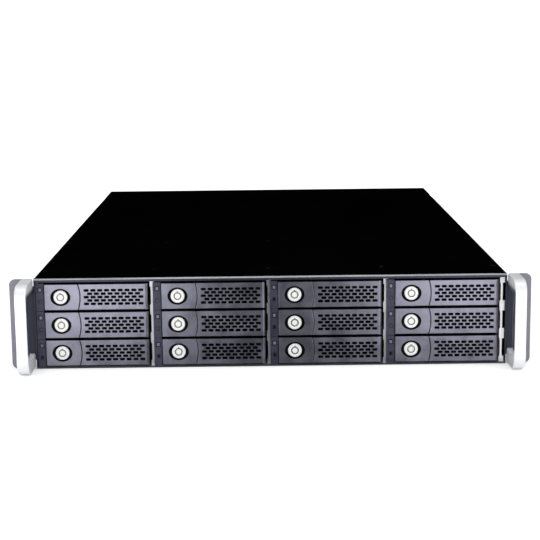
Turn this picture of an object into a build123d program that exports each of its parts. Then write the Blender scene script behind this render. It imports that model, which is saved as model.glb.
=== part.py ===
from build123d import *

import math
import os

# A two-unit rack storage box. A steel case holds twelve keyed drive trays in front, a fan
# wall behind them, and a board and two stacked power supplies at the rear.
# X runs across, Y from front to back and Z up, in millimetres. The origin is the bottom
# centre of the whole object, handles included.

# Standard sizes: 3.5 inch drive, 19 inch rack, 80 mm fan, redundant supply module
drive_width = 101.6
drive_length = 147.0
drive_height = 26.1
rack_width = 482.6
rack_hole_span = 465.1
rack_hole_pitch = 44.45
rack_slot_width = 6.8
rack_slot_length = 10.3
fan_size = 80.0
fan_depth = 38.0
psu_width = 73.5
psu_height = 40.0
psu_length = 185.0
board_width = 305.0
board_depth = 244.0
rail_hole_radius = 2.25
rail_hole_first = 90.0
rail_hole_pitch = 110.0

# Case
columns = 4
rows = 3
body_depth = 650.0
sheet = 1.2
cover_sheet = 1.2
side_gap = 1.1
bottom_gap = 1.1
top_gap = 2.15
trim_height = 3.35
trim_depth = 5.0
trim_proud = 0.6
trim_bevel = 1.3
panel_depth = 215.0
seam = 0.2
skirt = 12.0
skirt_gap = 0.4
cover_tab = 11.0
cover_tab_width = 18.0
screw_shank = 1.5
screw_clearance = 0.1
screw_cross = 2.6
screw_cross_width = 0.7
screw_cross_depth = 0.5
shank_below = 1.0
thumb_radius = 4.6
thumb_length = 7.0
front_screw_depth = 42.0

# Drive cage
partition_sheet = 1.0
partition_offset = 1.9
flange_left = 3.65
flange_right = 0.65
notch_width = 0.85
strip_width = 1.85
end_tab = 1.75
cage_recess = 3.6
notch_margin = 3.8
cage_top_flange = 4.5
brace_setback = 18.0
brace_width = 14.0
ledge_height = 0.8
ledge_gap = 0.2

# Tray
tray_height = 24.3
tray_gap = 2.15
rail_sheet = 0.8
rail_clearance = 0.3
rail_margin = 1.2
bezel_depth = 11.6
lip_depth = 3.2
led_recess = 1.0
led_overlap = 0.8
led_width = 8.0
led_groove = 0.7
led_overhang = 0.9
lock_plate_width = 30.8
seam_bulge = 2.0
seam_gap = 0.5
face_end_gap = 5.3
edge_round = 0.5
drive_setback = 18.0
lens_width = 2.2
lens_height = 2.6
lens_gap = 0.05
lens_proud = 0.2
lens_low = 8.0
lens_high = 19.2
window_count = 5
window_bar = 2.0
window_margin = 4.0
carrier_front = 1.0
carrier_border = 5.0

# Keylock
lock_inset = 14.9
disc_radius = 6.35
disc_thickness = 1.7
disc_proud = 0.2
barrel_radius = 4.6
barrel_clearance = 0.08
well_half_width = 9.3
well_half_height = 8.1
well_depth = 2.4
well_plate = 0.8
groove_outer = 3.7
groove_inner = 2.5
groove_depth = 1.2
cam_reach = 7.6
cam_thickness = 1.5
cam_pocket_depth = 4.0
lock_turn_clearance = 0.9

# Lever
lever_face = 2.0
lever_flange = 1.3
lever_flange_depth = 5.0
lever_side_gap = 0.15
hinge_depth = 5.0
hinge_inset = 4.3
lever_curl = 2.4
pin_radius = 1.0
pin_clearance = 0.05
knuckle_radius = 2.4
lug_sheet = 1.4
lug_gap = 0.3
slot_width = 4.7
slot_height = 2.45
slot_pitch = 6.3
slot_row_pitch = 3.16
slots_per_row = 9
slot_rows = 5
grille_end_margin = 4.0
pocket_depth = 9.6

# Rack ears and handles
ear_height = 84.2
ear_sheet = 2.5
ear_flange_sheet = 1.5
ear_setback = 2.0
ear_gap = 2.0
ear_corner = 5.0
ear_flange_length = 62.0
ear_relief = 8.0
handle_width = 11.2
handle_height = 84.0
handle_reach = 38.0
handle_leg = 13.5
handle_grip = 11.0
handle_corner = 14.0
handle_window_corner = 5.0
handle_edge = 1.8
handle_offset = 1.0
handle_screw_radius = 2.4
handle_screw_depth = 9.0
handle_screw_head = 4.2
handle_screw_inset = 5.0
ear_screw_radius = 2.0
ear_screw_head = 3.6
ear_screw_rows = 16.0
ear_screw_first = 18.0
ear_screw_pitch = 16.0

# Inside
backplane_sheet = 2.4
backplane_gap = 12.0
connector_gap = 0.5
fan_setback = 3.0
fan_bore_margin = 1.5
fan_spacing = 104.0
hub_radius = 17.0
axle_radius = 2.0
axle_clearance = 0.05
blade_count = 7
blade_sheet = 1.8
blade_tip_gap = 1.2
blade_pitch = 35.0
board_sheet = 1.6
board_standoff = 6.0
board_side_gap = 12.0
board_rear_gap = 1.5
stud_radius = 3.0
stud_bore = 1.4
socket_low = 60.0
socket_reach = 8.0
cable_drop = 50.0
cable_radius = 2.4
cable_bend = 20.0
motor_sheet = 4.0
hub_gap = 6.0
heatsink_size = 88.0
heatsink_height = 58.0
fin_sheet = 1.0
fin_pitch = 3.6
memory_length = 133.4
memory_height = 31.0
memory_pitch = 9.4
memory_count = 4

# Rear
psu_gap = 0.8
psu_clearance = 0.6
psu_floor_gap = 0.4
psu_handle_reach = 22.0
psu_handle_bar = 5.0
latch_travel = 3.0
latch_clearance = 0.1
button_radius = 4.5
button_clearance = 0.2
button_proud = 2.4
button_collar = 1.5
button_depth = 3.0
inlet_width = 27.2
inlet_height = 19.8
inlet_depth = 14.0
latch_width = 14.0
latch_inset = 3.0
latch_depth = 5.0
latch_half_height = 2.6
latch_drop = 6.5

# What follows from them
tray_pitch = tray_height + tray_gap
bay_pitch = drive_width + 2 * (rail_sheet + rail_clearance) + flange_left + flange_right
body_width = columns * bay_pitch + 2 * (sheet + side_gap)
trays_bottom = sheet + bottom_gap
trays_top = trays_bottom + rows * tray_height + (rows - 1) * tray_gap
body_height = trays_top + top_gap + trim_height
cover_bottom = body_height - cover_sheet
half_width = body_width / 2
wall_inside = half_width - sheet
y_face = (handle_reach - ear_setback - body_depth - psu_handle_reach) / 2
y_back = y_face + body_depth
y_cage = y_face + cage_recess
bay_left = -columns * bay_pitch / 2

os.makedirs("parts", exist_ok=True)


def block(x, y, z, mode=Mode.ADD):
    """A box between its low and high sides, in the part that is open."""
    centre = ((x[0] + x[1]) / 2, (y[0] + y[1]) / 2, (z[0] + z[1]) / 2)
    with Locations(centre):
        Box(x[1] - x[0], y[1] - y[0], z[1] - z[0], mode=mode)


def facing_front(y):
    """The plane across the box at depth y. Its sketches are X by Z, and extrude forwards."""
    return Plane.XZ.offset(-y)


def facing_side(x):
    """The plane along the box at x. Its sketches are Y by Z, and extrude to +X."""
    return Plane.YZ.offset(x)


def save(shape, name):
    shape.label = name
    export_step(shape, f"parts/{name}.step")


def whole(name, *pieces):
    """Writes several touching or nested solids as one node."""
    save(Compound(children=[s for piece in pieces for s in piece.solids()]), name)


# One tray, in the bottom left bay. The others are copies of it.
tray_bottom = trays_bottom
tray_top = tray_bottom + tray_height
tray_middle = tray_bottom + tray_height / 2
y_bezel = y_face + bezel_depth
led_left = bay_left - led_overlap
lock_left = led_left + led_width
lock_right = lock_left + lock_plate_width
lever_left = lock_right + seam_gap
face_right = bay_left + bay_pitch - face_end_gap
carrier_left = bay_left + flange_right + rail_clearance
carrier_right = carrier_left + drive_width + 2 * rail_sheet
lock_x = lock_left + lock_inset
pin_x = face_right - hinge_inset
pin_y = y_face + hinge_depth
y_pocket = y_face + pocket_depth
lens_x = led_left + led_width / 2
lens_rows = (tray_bottom + lens_low, tray_bottom + lens_high)
lug_bottom = tray_bottom + lever_side_gap + lever_flange + lug_gap
knuckle_bottom = lug_bottom + lug_sheet + lug_gap
knuckle_height = tray_height - 2 * (knuckle_bottom - tray_bottom)
window_left = lever_left + seam_bulge + window_margin
window_right = pin_x - knuckle_radius - window_bar


def seam_plate(y, side, shift):
    """A face plate outline at depth y. Its edge at the seam bulges to the right."""
    seam_x = lock_right + shift
    with BuildSketch(facing_front(y)) as plate:
        with BuildLine():
            ThreePointArc((seam_x, tray_bottom), (seam_x + seam_bulge, tray_middle), (seam_x, tray_top))
            Polyline((seam_x, tray_top), (side, tray_top), (side, tray_bottom), (seam_x, tray_bottom))
        make_face()
    return plate.sketch


with BuildPart() as bezel:
    # block behind the lock plate, with the curved seam
    extrude(seam_plate(y_bezel, lock_left, 0), amount=bezel_depth)
    fillet(bezel.faces().sort_by(Axis.Y)[0].edges(), edge_round)
    # light strip, set back a little, in front of the cage flange
    strip_z = (tray_bottom - led_overhang, tray_top + led_overhang)
    block((led_left, lock_left - led_groove), (y_face + led_recess, y_face + lip_depth), strip_z)
    block((carrier_left, lock_left), (y_face + lip_depth, y_bezel), (tray_bottom, tray_top))
    # wall behind the lever
    block((lock_right - 1, face_right), (y_pocket, y_bezel), (tray_bottom, tray_top))
    # hinge lugs, open on the side that the curled end swings through
    for z in (lug_bottom, tray_top + tray_bottom - lug_bottom - lug_sheet):
        block((pin_x - knuckle_radius, pin_x), (pin_y, y_pocket), (z, z + lug_sheet))
        with Locations((pin_x, pin_y, z + lug_sheet / 2)):
            Cylinder(knuckle_radius, lug_sheet)
    with Locations((pin_x, pin_y, tray_middle)):
        Cylinder(pin_radius, tray_height, mode=Mode.SUBTRACT)
    # well of the lock, its bore and the pocket that its cam turns in
    with BuildSketch(facing_front(y_face + well_depth)):
        with Locations((lock_x, tray_middle)):
            Ellipse(well_half_width, well_half_height)
    extrude(amount=well_depth, mode=Mode.SUBTRACT)
    with BuildSketch(facing_front(y_bezel)):
        with Locations((lock_x, tray_middle)):
            Circle(barrel_radius + barrel_clearance)
    extrude(amount=bezel_depth, mode=Mode.SUBTRACT)
    cam_room = cam_reach + lock_turn_clearance
    block(
        (lock_x - cam_room, lock_x + cam_room),
        (y_bezel - cam_pocket_depth, y_bezel),
        (tray_middle - cam_room, tray_middle + cam_room),
        mode=Mode.SUBTRACT,
    )
    # lens windows and the air windows behind the grille
    with BuildSketch(facing_front(y_bezel)):
        with Locations(*[(lens_x, z) for z in lens_rows]):
            Rectangle(lens_width + 2 * lens_gap, lens_height + 2 * lens_gap)
    extrude(amount=bezel_depth, mode=Mode.SUBTRACT)
    window_pitch = (window_right - window_left) / window_count
    window_height = tray_height / 2 - window_margin - window_bar / 2
    with BuildSketch(facing_front(y_bezel)):
        with Locations(((window_left + window_right) / 2, tray_middle)):
            with GridLocations(window_pitch, window_height + window_bar, window_count, 2):
                Rectangle(window_pitch - window_bar, window_height)
    extrude(amount=bezel_depth - pocket_depth, mode=Mode.SUBTRACT)

with BuildPart() as light_pipes:
    for z in lens_rows:
        block(
            (lens_x - lens_width / 2, lens_x + lens_width / 2),
            (y_face + led_recess - lens_proud, y_bezel),
            (z - lens_height / 2, z + lens_height / 2),
        )

with BuildPart() as well_ring:
    with BuildSketch(facing_front(y_face + well_depth)):
        with Locations((lock_x, tray_middle)):
            Ellipse(well_half_width - lens_gap, well_half_height - lens_gap)
            Circle(barrel_radius + barrel_clearance, mode=Mode.SUBTRACT)
    extrude(amount=well_plate)

with BuildPart() as hinge_pin:
    with Locations((pin_x, pin_y, tray_middle)):
        Cylinder(pin_radius, 2 * (tray_top - lug_bottom - tray_height / 2))

with BuildPart() as carrier:
    # front wall and the two rails that the drive is screwed between
    rails_z = (tray_bottom + rail_margin, tray_top - rail_margin)
    y_rails_end = y_face + drive_setback + drive_length
    block((carrier_left, carrier_right), (y_bezel, y_bezel + carrier_front), rails_z)
    block((carrier_left, carrier_left + rail_sheet), (y_bezel, y_rails_end), rails_z)
    block((carrier_right - rail_sheet, carrier_right), (y_bezel, y_rails_end), rails_z)
    block(
        (window_left, window_right),
        (y_bezel, y_bezel + carrier_front),
        (tray_bottom + carrier_border, tray_top - carrier_border),
        mode=Mode.SUBTRACT,
    )

drive_left = carrier_left + rail_sheet
drive_right = drive_left + drive_width
drive_bottom = tray_middle - drive_height / 2
y_drive = y_face + drive_setback
drive_lid = 2.0
drive_board = 1.6
with BuildPart() as drive:
    # casting, which leaves room for the lid above and the circuit board below
    block(
        (drive_left, drive_right),
        (y_drive, y_drive + drive_length),
        (drive_bottom + drive_board, drive_bottom + drive_height - drive_lid),
    )
    fillet(drive.edges().filter_by(Axis.Z), 3.0)
with BuildPart() as drive_cover:
    block(
        (drive_left + 2, drive_right - 2),
        (y_drive + 2, y_drive + drive_length - 2),
        (drive_bottom + drive_height - drive_lid, drive_bottom + drive_height),
    )
    fillet(drive_cover.edges().filter_by(Axis.Z), 5.0)
    chamfer(drive_cover.faces().sort_by(Axis.Z)[-1].edges(), 0.6)
with BuildPart() as drive_circuit:
    block(
        (drive_left + 8, drive_right - 8),
        (y_drive + drive_length * 0.42, y_drive + drive_length - 1),
        (drive_bottom, drive_bottom + drive_board),
    )

curl_start = face_right - lever_curl
with BuildPart() as lever:
    extrude(seam_plate(y_face + lever_face, curl_start, seam_gap), amount=lever_face)
    outer_edges = lever.faces().sort_by(Axis.Y)[0].edges()
    fillet(outer_edges.filter_by(Axis.X) + outer_edges.filter_by(GeomType.CIRCLE), edge_round)
    # the hinge end curls back round the pin
    with BuildSketch(Plane.XY.offset(tray_bottom)):
        with Locations((curl_start, y_face + lever_curl)):
            Circle(lever_curl)
            Circle(lever_curl - lever_face, mode=Mode.SUBTRACT)
        outside = ((curl_start - lever_curl, y_face + lever_curl), (curl_start, y_face + 2 * lever_curl))
        with Locations(*outside):
            Rectangle(2 * lever_curl, 2 * lever_curl, mode=Mode.SUBTRACT)
    extrude(amount=tray_height)
    # stiffening flanges above and below
    flange_left_end = lever_left + seam_bulge + 1.2
    flange_low = tray_bottom + lever_side_gap
    for z in (flange_low, tray_top - lever_side_gap - lever_flange):
        block(
            (flange_left_end, pin_x + knuckle_radius / 2),
            (y_face + lever_face, y_face + lever_face + lever_flange_depth),
            (z, z + lever_flange),
        )
    # hinge knuckle
    with Locations((pin_x, pin_y, tray_middle)):
        Cylinder(knuckle_radius, knuckle_height)
    block(
        (pin_x - knuckle_radius, pin_x),
        (y_face + lever_face, pin_y),
        (tray_middle - knuckle_height / 2, tray_middle + knuckle_height / 2),
    )
    with Locations((pin_x, pin_y, tray_middle)):
        Cylinder(pin_radius + pin_clearance, knuckle_height, mode=Mode.SUBTRACT)
    # grille: staggered rows of slots
    grille_right = face_right - grille_end_margin
    grille_x = grille_right - ((slots_per_row - 1) * slot_pitch + slot_width) / 2
    with BuildSketch(facing_front(y_face + lever_face)):
        for row in range(slot_rows):
            z = tray_middle + (row - (slot_rows - 1) / 2) * slot_row_pitch
            with Locations((grille_x, z)):
                with GridLocations(slot_pitch, 1, slots_per_row - row % 2, 1):
                    RectangleRounded(slot_width, slot_height, slot_height * 0.3)
    extrude(amount=lever_face, mode=Mode.SUBTRACT)

with BuildPart() as lock:
    y_disc_back = y_face - disc_proud + disc_thickness
    with BuildSketch(facing_front(y_disc_back)):
        with Locations((lock_x, tray_middle)):
            Circle(disc_radius)
    extrude(amount=disc_thickness)
    chamfer(lock.faces().sort_by(Axis.Y)[0].edges(), 0.6)
    with BuildSketch(facing_front(y_bezel - cam_pocket_depth / 4)):
        with Locations((lock_x, tray_middle)):
            Circle(barrel_radius)
    extrude(amount=y_bezel - cam_pocket_depth / 4 - y_disc_back)
    # tube keyway: a ring groove with a notch at the top
    with BuildSketch(facing_front(y_face - disc_proud + groove_depth)):
        with Locations((lock_x, tray_middle)):
            Circle(groove_outer)
            Circle(groove_inner, mode=Mode.SUBTRACT)
        with Locations((lock_x, tray_middle + groove_outer)):
            Rectangle(1.4, 1.6)
    extrude(amount=groove_depth, mode=Mode.SUBTRACT)
    # cam behind the barrel
    y_cam = y_bezel - cam_pocket_depth / 4
    block(
        (lock_x - 2.4, lock_x + 2.4),
        (y_cam - cam_thickness, y_cam),
        (tray_middle - cam_reach, tray_middle),
    )

for column in range(columns):
    for row in range(rows):
        place = Location((column * bay_pitch, 0, row * tray_pitch))
        bay = f"{column + 1}{row + 1}"
        tray_pieces = (
            bezel, well_ring, light_pipes, hinge_pin, carrier, drive, drive_cover, drive_circuit
        )
        whole(f"tray_{bay}", *[piece.part.moved(place) for piece in tray_pieces])
        save(lever.part.moved(place), f"lever_{bay}")
        save(lock.part.moved(place), f"keylock_{bay}")

# Drive cage: upright partitions with a notched front flange, and ledges for the rails
y_backplane = y_face + drive_setback + drive_length + backplane_gap
y_brace = y_face + panel_depth - brace_setback
trim_bottom = body_height - trim_height
cage_z = (sheet, cover_bottom)
rail_edge = rail_clearance + rail_sheet - 0.1
screw_y = (y_face + front_screw_depth, y_brace + brace_width / 2)
screw_x = []
partitions = []
for index in range(columns + 1):
    first = index == 0
    last = index == columns
    boundary = bay_left + index * bay_pitch
    plate_x = boundary if first else boundary - partition_offset
    plate = (plate_x - partition_sheet / 2, plate_x + partition_sheet / 2)
    flange_end = boundary - flange_left + notch_width + strip_width
    flange = (
        plate[0] if first else boundary - flange_left,
        flange_end + end_tab if last else boundary + flange_right,
    )
    shelf = (
        plate[0] if first else boundary - flange_left - rail_edge,
        plate[1] if last else boundary + flange_right + rail_edge,
    )
    top_flange = (
        plate[0] if first else plate_x - cage_top_flange,
        plate[1] if last else plate_x + cage_top_flange,
    )
    screw_shift = cage_top_flange / 2 if first else -cage_top_flange / 2 if last else 0
    screw_x.append(plate_x + screw_shift)
    with BuildPart() as partition:
        block(plate, (y_face + cage_recess, y_backplane), cage_z)
        block(flange, (y_face + cage_recess, y_face + cage_recess + partition_sheet), cage_z)
        block(top_flange, (y_face + drive_setback, y_backplane), (cover_bottom - 1.0, cover_bottom))
        for row in range(rows):
            low = trays_bottom + row * tray_pitch
            notch_z = (low + notch_margin, low + tray_height - notch_margin)
            notch_y = (y_face + cage_recess, y_face + cage_recess + partition_sheet)
            if not first:
                block((flange[0], flange[0] + notch_width), notch_y, notch_z, mode=Mode.SUBTRACT)
            if last:
                block((flange_end, flange[1]), notch_y, notch_z, mode=Mode.SUBTRACT)
            ledge_top = low + rail_margin - ledge_gap
            block(shelf, (y_face + drive_setback, y_backplane), (ledge_top - ledge_height, ledge_top))
        # room for the trim rail and for the cover screw
        block(
            (flange[0], flange[1]),
            (y_face, y_face + trim_depth + seam),
            (trim_bottom, body_height),
            mode=Mode.SUBTRACT,
        )
        with Locations((screw_x[-1], screw_y[0], cover_bottom)):
            Cylinder(screw_shank + screw_clearance, 4.0, mode=Mode.SUBTRACT)
    partitions.append(partition.part)
with BuildPart() as brace:
    # cross channel under the back edge of the front panel
    block((-wall_inside, wall_inside), (y_brace, y_brace + brace_width), (cover_bottom - 8.0, cover_bottom))
    block(
        (-wall_inside, wall_inside),
        (y_brace + sheet, y_brace + brace_width - sheet),
        (cover_bottom - 8.0, cover_bottom - sheet),
        mode=Mode.SUBTRACT,
    )
    with Locations(*[(x, screw_y[1], cover_bottom) for x in screw_x]):
        Cylinder(screw_shank + screw_clearance, 4.0, mode=Mode.SUBTRACT)
whole("drive_cage", *partitions, brace.part)

with BuildPart() as trim_rail:
    block(
        (-half_width, half_width), (y_face - trim_proud, y_face + trim_depth), (trim_bottom, body_height)
    )
    front_top = trim_rail.faces().sort_by(Axis.Y)[0].edges().sort_by(Axis.Z)[-1]
    chamfer(front_top, trim_bevel)
save(trim_rail.part, "trim_rail")


def flush_screw(x, y):
    """A countersunk screw whose head lies flush with the top of the box."""
    with BuildPart() as screw:
        with Locations((x, y, body_height - cover_sheet / 2)):
            Cone(screw_shank, cover_screw_radius, cover_sheet)
        with Locations((x, y, cover_bottom - shank_below / 2)):
            Cylinder(screw_shank, shank_below)
        with Locations((x, y, body_height)):
            Box(screw_cross, screw_cross_width, 2 * screw_cross_depth, mode=Mode.SUBTRACT)
            Box(screw_cross_width, screw_cross, 2 * screw_cross_depth, mode=Mode.SUBTRACT)
    return screw.part


# Front panel, screwed to the cage and to its brace
panel_end = y_face + panel_depth
cover_screw_radius = screw_shank + cover_sheet
screw_places = [(x, y) for x in screw_x for y in screw_y]
with BuildPart() as front_panel:
    block((-half_width, half_width), (y_face + trim_depth + seam, panel_end), (cover_bottom, body_height))
    fillet(front_panel.faces().sort_by(Axis.Z)[-1].edges().filter_by(Axis.Y), cover_sheet * 0.6)
    with Locations(*[(x, y, body_height) for x, y in screw_places]):
        CounterSinkHole(
            radius=screw_shank + screw_clearance,
            counter_sink_radius=cover_screw_radius + screw_clearance,
            depth=cover_sheet,
            counter_sink_angle=90,
        )
whole("front_top_panel", front_panel.part, *[flush_screw(x, y) for x, y in screw_places])

# Supply bay, stacked two high behind the left side
psu_left = -wall_inside + skirt_gap + sheet + psu_clearance
psu_right = psu_left + psu_width
psu_bottoms = (sheet + psu_floor_gap, sheet + psu_floor_gap + psu_height + psu_gap)
psu_top = psu_bottoms[1] + psu_height
y_psu = y_back - psu_length
bay_x = (psu_left - psu_clearance, psu_right + psu_clearance)
bay_z = (sheet, psu_top + psu_clearance)

# Rear ports: across from the board's left edge, size, in front of the board's own rear edge
board_right = wall_inside - board_side_gap
board_left = board_right - board_width
board_bottom = sheet + board_standoff
board_top = board_bottom + board_sheet
y_board = y_back - sheet - board_rear_gap - board_depth
port_gap = 0.3
port_reach = 0.8
ports = {
    "serial": (24.0, 31.0, 12.5),
    "display": (60.0, 31.0, 12.5),
    "usb": (90.0, 14.5, 15.8),
    "usb_second": (108.0, 14.5, 15.8),
    "net": (128.0, 16.4, 13.4),
    "net_second": (147.0, 16.4, 13.4),
    "net_third": (166.0, 16.4, 13.4),
    "net_fourth": (185.0, 16.4, 13.4),
}
button_x = board_right - 24.0
button_z = 60.0
vent_x = board_left + 0.42 * board_width
vent_z = 54.0
vent_length = 13.0
vent_width = 3.0
vent_pitch = 5.6

# Holes in the side walls, for outer slide rails and for the ear screws
rail_y = [y_face + rail_hole_first + step * rail_hole_pitch for step in range(5)]
ear_y = [y_face + ear_screw_first + step * ear_screw_pitch for step in range(3)]
ear_holes = [(y, body_height / 2 + dz) for y in ear_y for dz in (-ear_screw_rows, ear_screw_rows)]

with BuildPart() as base:
    block((-half_width, half_width), (y_face, y_back), (0, sheet))
    for side in (-1, 1):
        wall = sorted((side * wall_inside, side * half_width))
        block(wall, (y_face, y_back), (0, cover_bottom))
    block((-half_width, half_width), (y_back - sheet, y_back), (0, cover_bottom))
    # corners notched for the trim rail
    block(
        (-half_width, half_width),
        (y_face, y_face + trim_depth + seam),
        (trim_bottom, cover_bottom),
        mode=Mode.SUBTRACT,
    )
    rear_wall_y = (y_back - sheet, y_back)
    block(bay_x, rear_wall_y, bay_z, mode=Mode.SUBTRACT)
    for offset, width, height in ports.values():
        block(
            (board_left + offset - port_gap, board_left + offset + width + port_gap),
            rear_wall_y,
            (board_top - port_gap, board_top + height + port_gap),
            mode=Mode.SUBTRACT,
        )
    with BuildSketch(facing_front(y_back)):
        with Locations((button_x, button_z)):
            Circle(button_radius + button_clearance)
        # air slots across the free part of the rear wall
        with Locations((vent_x, vent_z)):
            with GridLocations(vent_length + 4.0, vent_pitch, 13, 6):
                SlotOverall(vent_length, vent_width)
    extrude(amount=sheet, mode=Mode.SUBTRACT)
    # holes for outer slide rails and the ear screws
    for side in (-1, 1):
        for y in rail_y:
            with BuildSketch(facing_side(side * half_width)):
                with Locations((y, body_height / 2)):
                    Circle(rail_hole_radius)
            extrude(amount=-side * sheet, mode=Mode.SUBTRACT)
        for place in ear_holes:
            with BuildSketch(facing_side(side * half_width)):
                with Locations(place):
                    Circle(ear_screw_radius + screw_clearance)
            extrude(amount=-side * sheet, mode=Mode.SUBTRACT)
    # studs under the board
    stud_x = (board_left + 8, (board_left + board_right) / 2, board_right - 8)
    stud_y = (y_board + 8, y_board + board_depth / 2, y_board + board_depth - 34)
    for x in stud_x:
        for y in stud_y:
            with Locations((x, y, sheet + board_standoff / 2)):
                Cylinder(stud_radius, board_standoff)
                Cylinder(stud_bore, board_standoff, mode=Mode.SUBTRACT)
save(base.part, "chassis_base")

# Rear cover: a flat sheet, with lips inside the walls and screw tabs behind the rear wall
tab_screws = (-120.0, 0.0, 120.0)
tab_z = (cover_bottom - cover_tab, cover_bottom)
with BuildPart() as rear_sheet:
    block((-half_width, half_width), (panel_end + seam, y_back + sheet), (cover_bottom, body_height))
    fillet(rear_sheet.faces().sort_by(Axis.Z)[-1].edges().filter_by(Axis.Y), cover_sheet * 0.6)
cover_pieces = [rear_sheet.part]
for side in (-1, 1):
    with BuildPart() as lip:
        lip_x = sorted((side * (wall_inside - skirt_gap), side * (wall_inside - skirt_gap - sheet)))
        block(lip_x, (panel_end + 8, y_back - sheet - 2), (cover_bottom - skirt, cover_bottom))
    cover_pieces.append(lip.part)
for x in tab_screws:
    screw_place = (x, cover_bottom - cover_tab / 2)
    with BuildPart() as tab:
        block((x - cover_tab_width / 2, x + cover_tab_width / 2), (y_back, y_back + sheet), tab_z)
        with BuildSketch(facing_front(y_back + sheet)):
            with Locations(screw_place):
                Circle(screw_shank + screw_clearance)
        extrude(amount=sheet, mode=Mode.SUBTRACT)
    with BuildPart() as thumb_screw:
        with BuildSketch(facing_front(y_back)):
            with Locations(screw_place):
                Circle(screw_shank)
        extrude(amount=-sheet)
        with BuildSketch(facing_front(y_back + sheet)):
            with Locations(screw_place):
                Circle(thumb_radius)
        extrude(amount=-thumb_length)
        chamfer(thumb_screw.faces().sort_by(Axis.Y)[-1].edges(), 0.8)
    cover_pieces += [tab.part, thumb_screw.part]
whole("rear_cover", *cover_pieces)

# Ears and handles. The left pair mirrors the right pair.
y_ear = y_face + ear_setback
ear_inner = half_width + ear_gap
ear_outer = rack_width / 2
slot_z = (body_height / 2 - rack_hole_pitch / 2, body_height / 2 + rack_hole_pitch / 2)
handle_left_side = half_width + handle_offset
handle_low = (body_height - handle_height) / 2
handle_screw_x = ear_inner + handle_screw_inset
leg_z = (handle_low + handle_leg / 2, handle_low + handle_height - handle_leg / 2)
with BuildPart() as ear:
    block((ear_inner, ear_outer), (y_ear, y_ear + ear_sheet), (0, ear_height))
    fillet(ear.edges().filter_by(Axis.Y).sort_by(Axis.X)[-2:], ear_corner)
    flange_z = (ear_relief, body_height - ear_relief)
    block((half_width, ear_inner), (y_ear, y_ear + ear_sheet), flange_z)
    block((half_width, half_width + ear_flange_sheet), (y_ear, y_ear + ear_flange_length), flange_z)
    with BuildSketch(facing_front(y_ear + ear_sheet)):
        with Locations(*[(rack_hole_span / 2, z) for z in slot_z]):
            SlotOverall(rack_slot_length, rack_slot_width)
        with Locations(*[(handle_screw_x, z) for z in leg_z]):
            Circle(handle_screw_radius + screw_clearance)
    extrude(amount=ear_sheet, mode=Mode.SUBTRACT)
    with BuildSketch(facing_side(half_width + ear_flange_sheet)):
        with Locations(*ear_holes):
            Circle(ear_screw_radius + screw_clearance)
    extrude(amount=-ear_flange_sheet, mode=Mode.SUBTRACT)

y_grip = y_ear - handle_reach
with BuildPart() as handle:
    with BuildSketch(facing_side(handle_left_side)):
        with BuildLine():
            FilletPolyline(
                (y_ear, handle_low),
                (y_grip, handle_low),
                (y_grip, handle_low + handle_height),
                (y_ear, handle_low + handle_height),
                radius=handle_corner,
            )
            Line((y_ear, handle_low + handle_height), (y_ear, handle_low + handle_height - handle_leg))
            FilletPolyline(
                (y_ear, handle_low + handle_height - handle_leg),
                (y_grip + handle_grip, handle_low + handle_height - handle_leg),
                (y_grip + handle_grip, handle_low + handle_leg),
                (y_ear, handle_low + handle_leg),
                radius=handle_window_corner,
            )
            Line((y_ear, handle_low + handle_leg), (y_ear, handle_low))
        make_face()
    extrude(amount=handle_width)
    side_edges = handle.faces().filter_by(Axis.X).edges()
    fillet([edge for edge in side_edges if edge.center().Y < y_ear - 0.1], handle_edge)
    with BuildSketch(facing_front(y_ear)):
        with Locations(*[(handle_screw_x, z) for z in leg_z]):
            Circle(handle_screw_radius + screw_clearance)
    extrude(amount=handle_screw_depth + 1.0, mode=Mode.SUBTRACT)

save(ear.part, "ear_right")
save(ear.part.mirror(Plane.YZ), "ear_left")
save(handle.part, "handle_right")
save(handle.part.mirror(Plane.YZ), "handle_left")

# Backplane: a board across the cage with a connector for each drive
connector_length = backplane_gap - connector_gap
with BuildPart() as backplane_board:
    plane_y = (y_backplane, y_backplane + backplane_sheet)
    block((bay_left + 1, -bay_left - 1), plane_y, (sheet + 0.8, cover_bottom - 1.2))
    with BuildSketch(facing_front(y_backplane + backplane_sheet)):
        with Locations((0, trays_bottom + rows * tray_pitch / 2)):
            with GridLocations(bay_pitch / 2, tray_pitch, 2 * columns, rows):
                SlotOverall(30.0, 9.0)
    extrude(amount=backplane_sheet, mode=Mode.SUBTRACT)
drive_connectors = []
for column in range(columns):
    for row in range(rows):
        low_x = drive_left + column * bay_pitch + 9.0
        low_z = trays_bottom + row * tray_pitch + 2.0
        with BuildPart() as connector:
            block((low_x, low_x + 42), (y_backplane - connector_length, y_backplane), (low_z, low_z + 4.6))
        drive_connectors.append(connector.part)
rear_sockets = []
for x in (-160.0, -52.0, 52.0, 160.0):
    with BuildPart() as socket:
        block((x - 12, x + 12), (plane_y[1], plane_y[1] + socket_reach), (socket_low, socket_low + 8))
    rear_sockets.append(socket.part)
whole("backplane", backplane_board.part, *drive_connectors, *rear_sockets)

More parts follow.
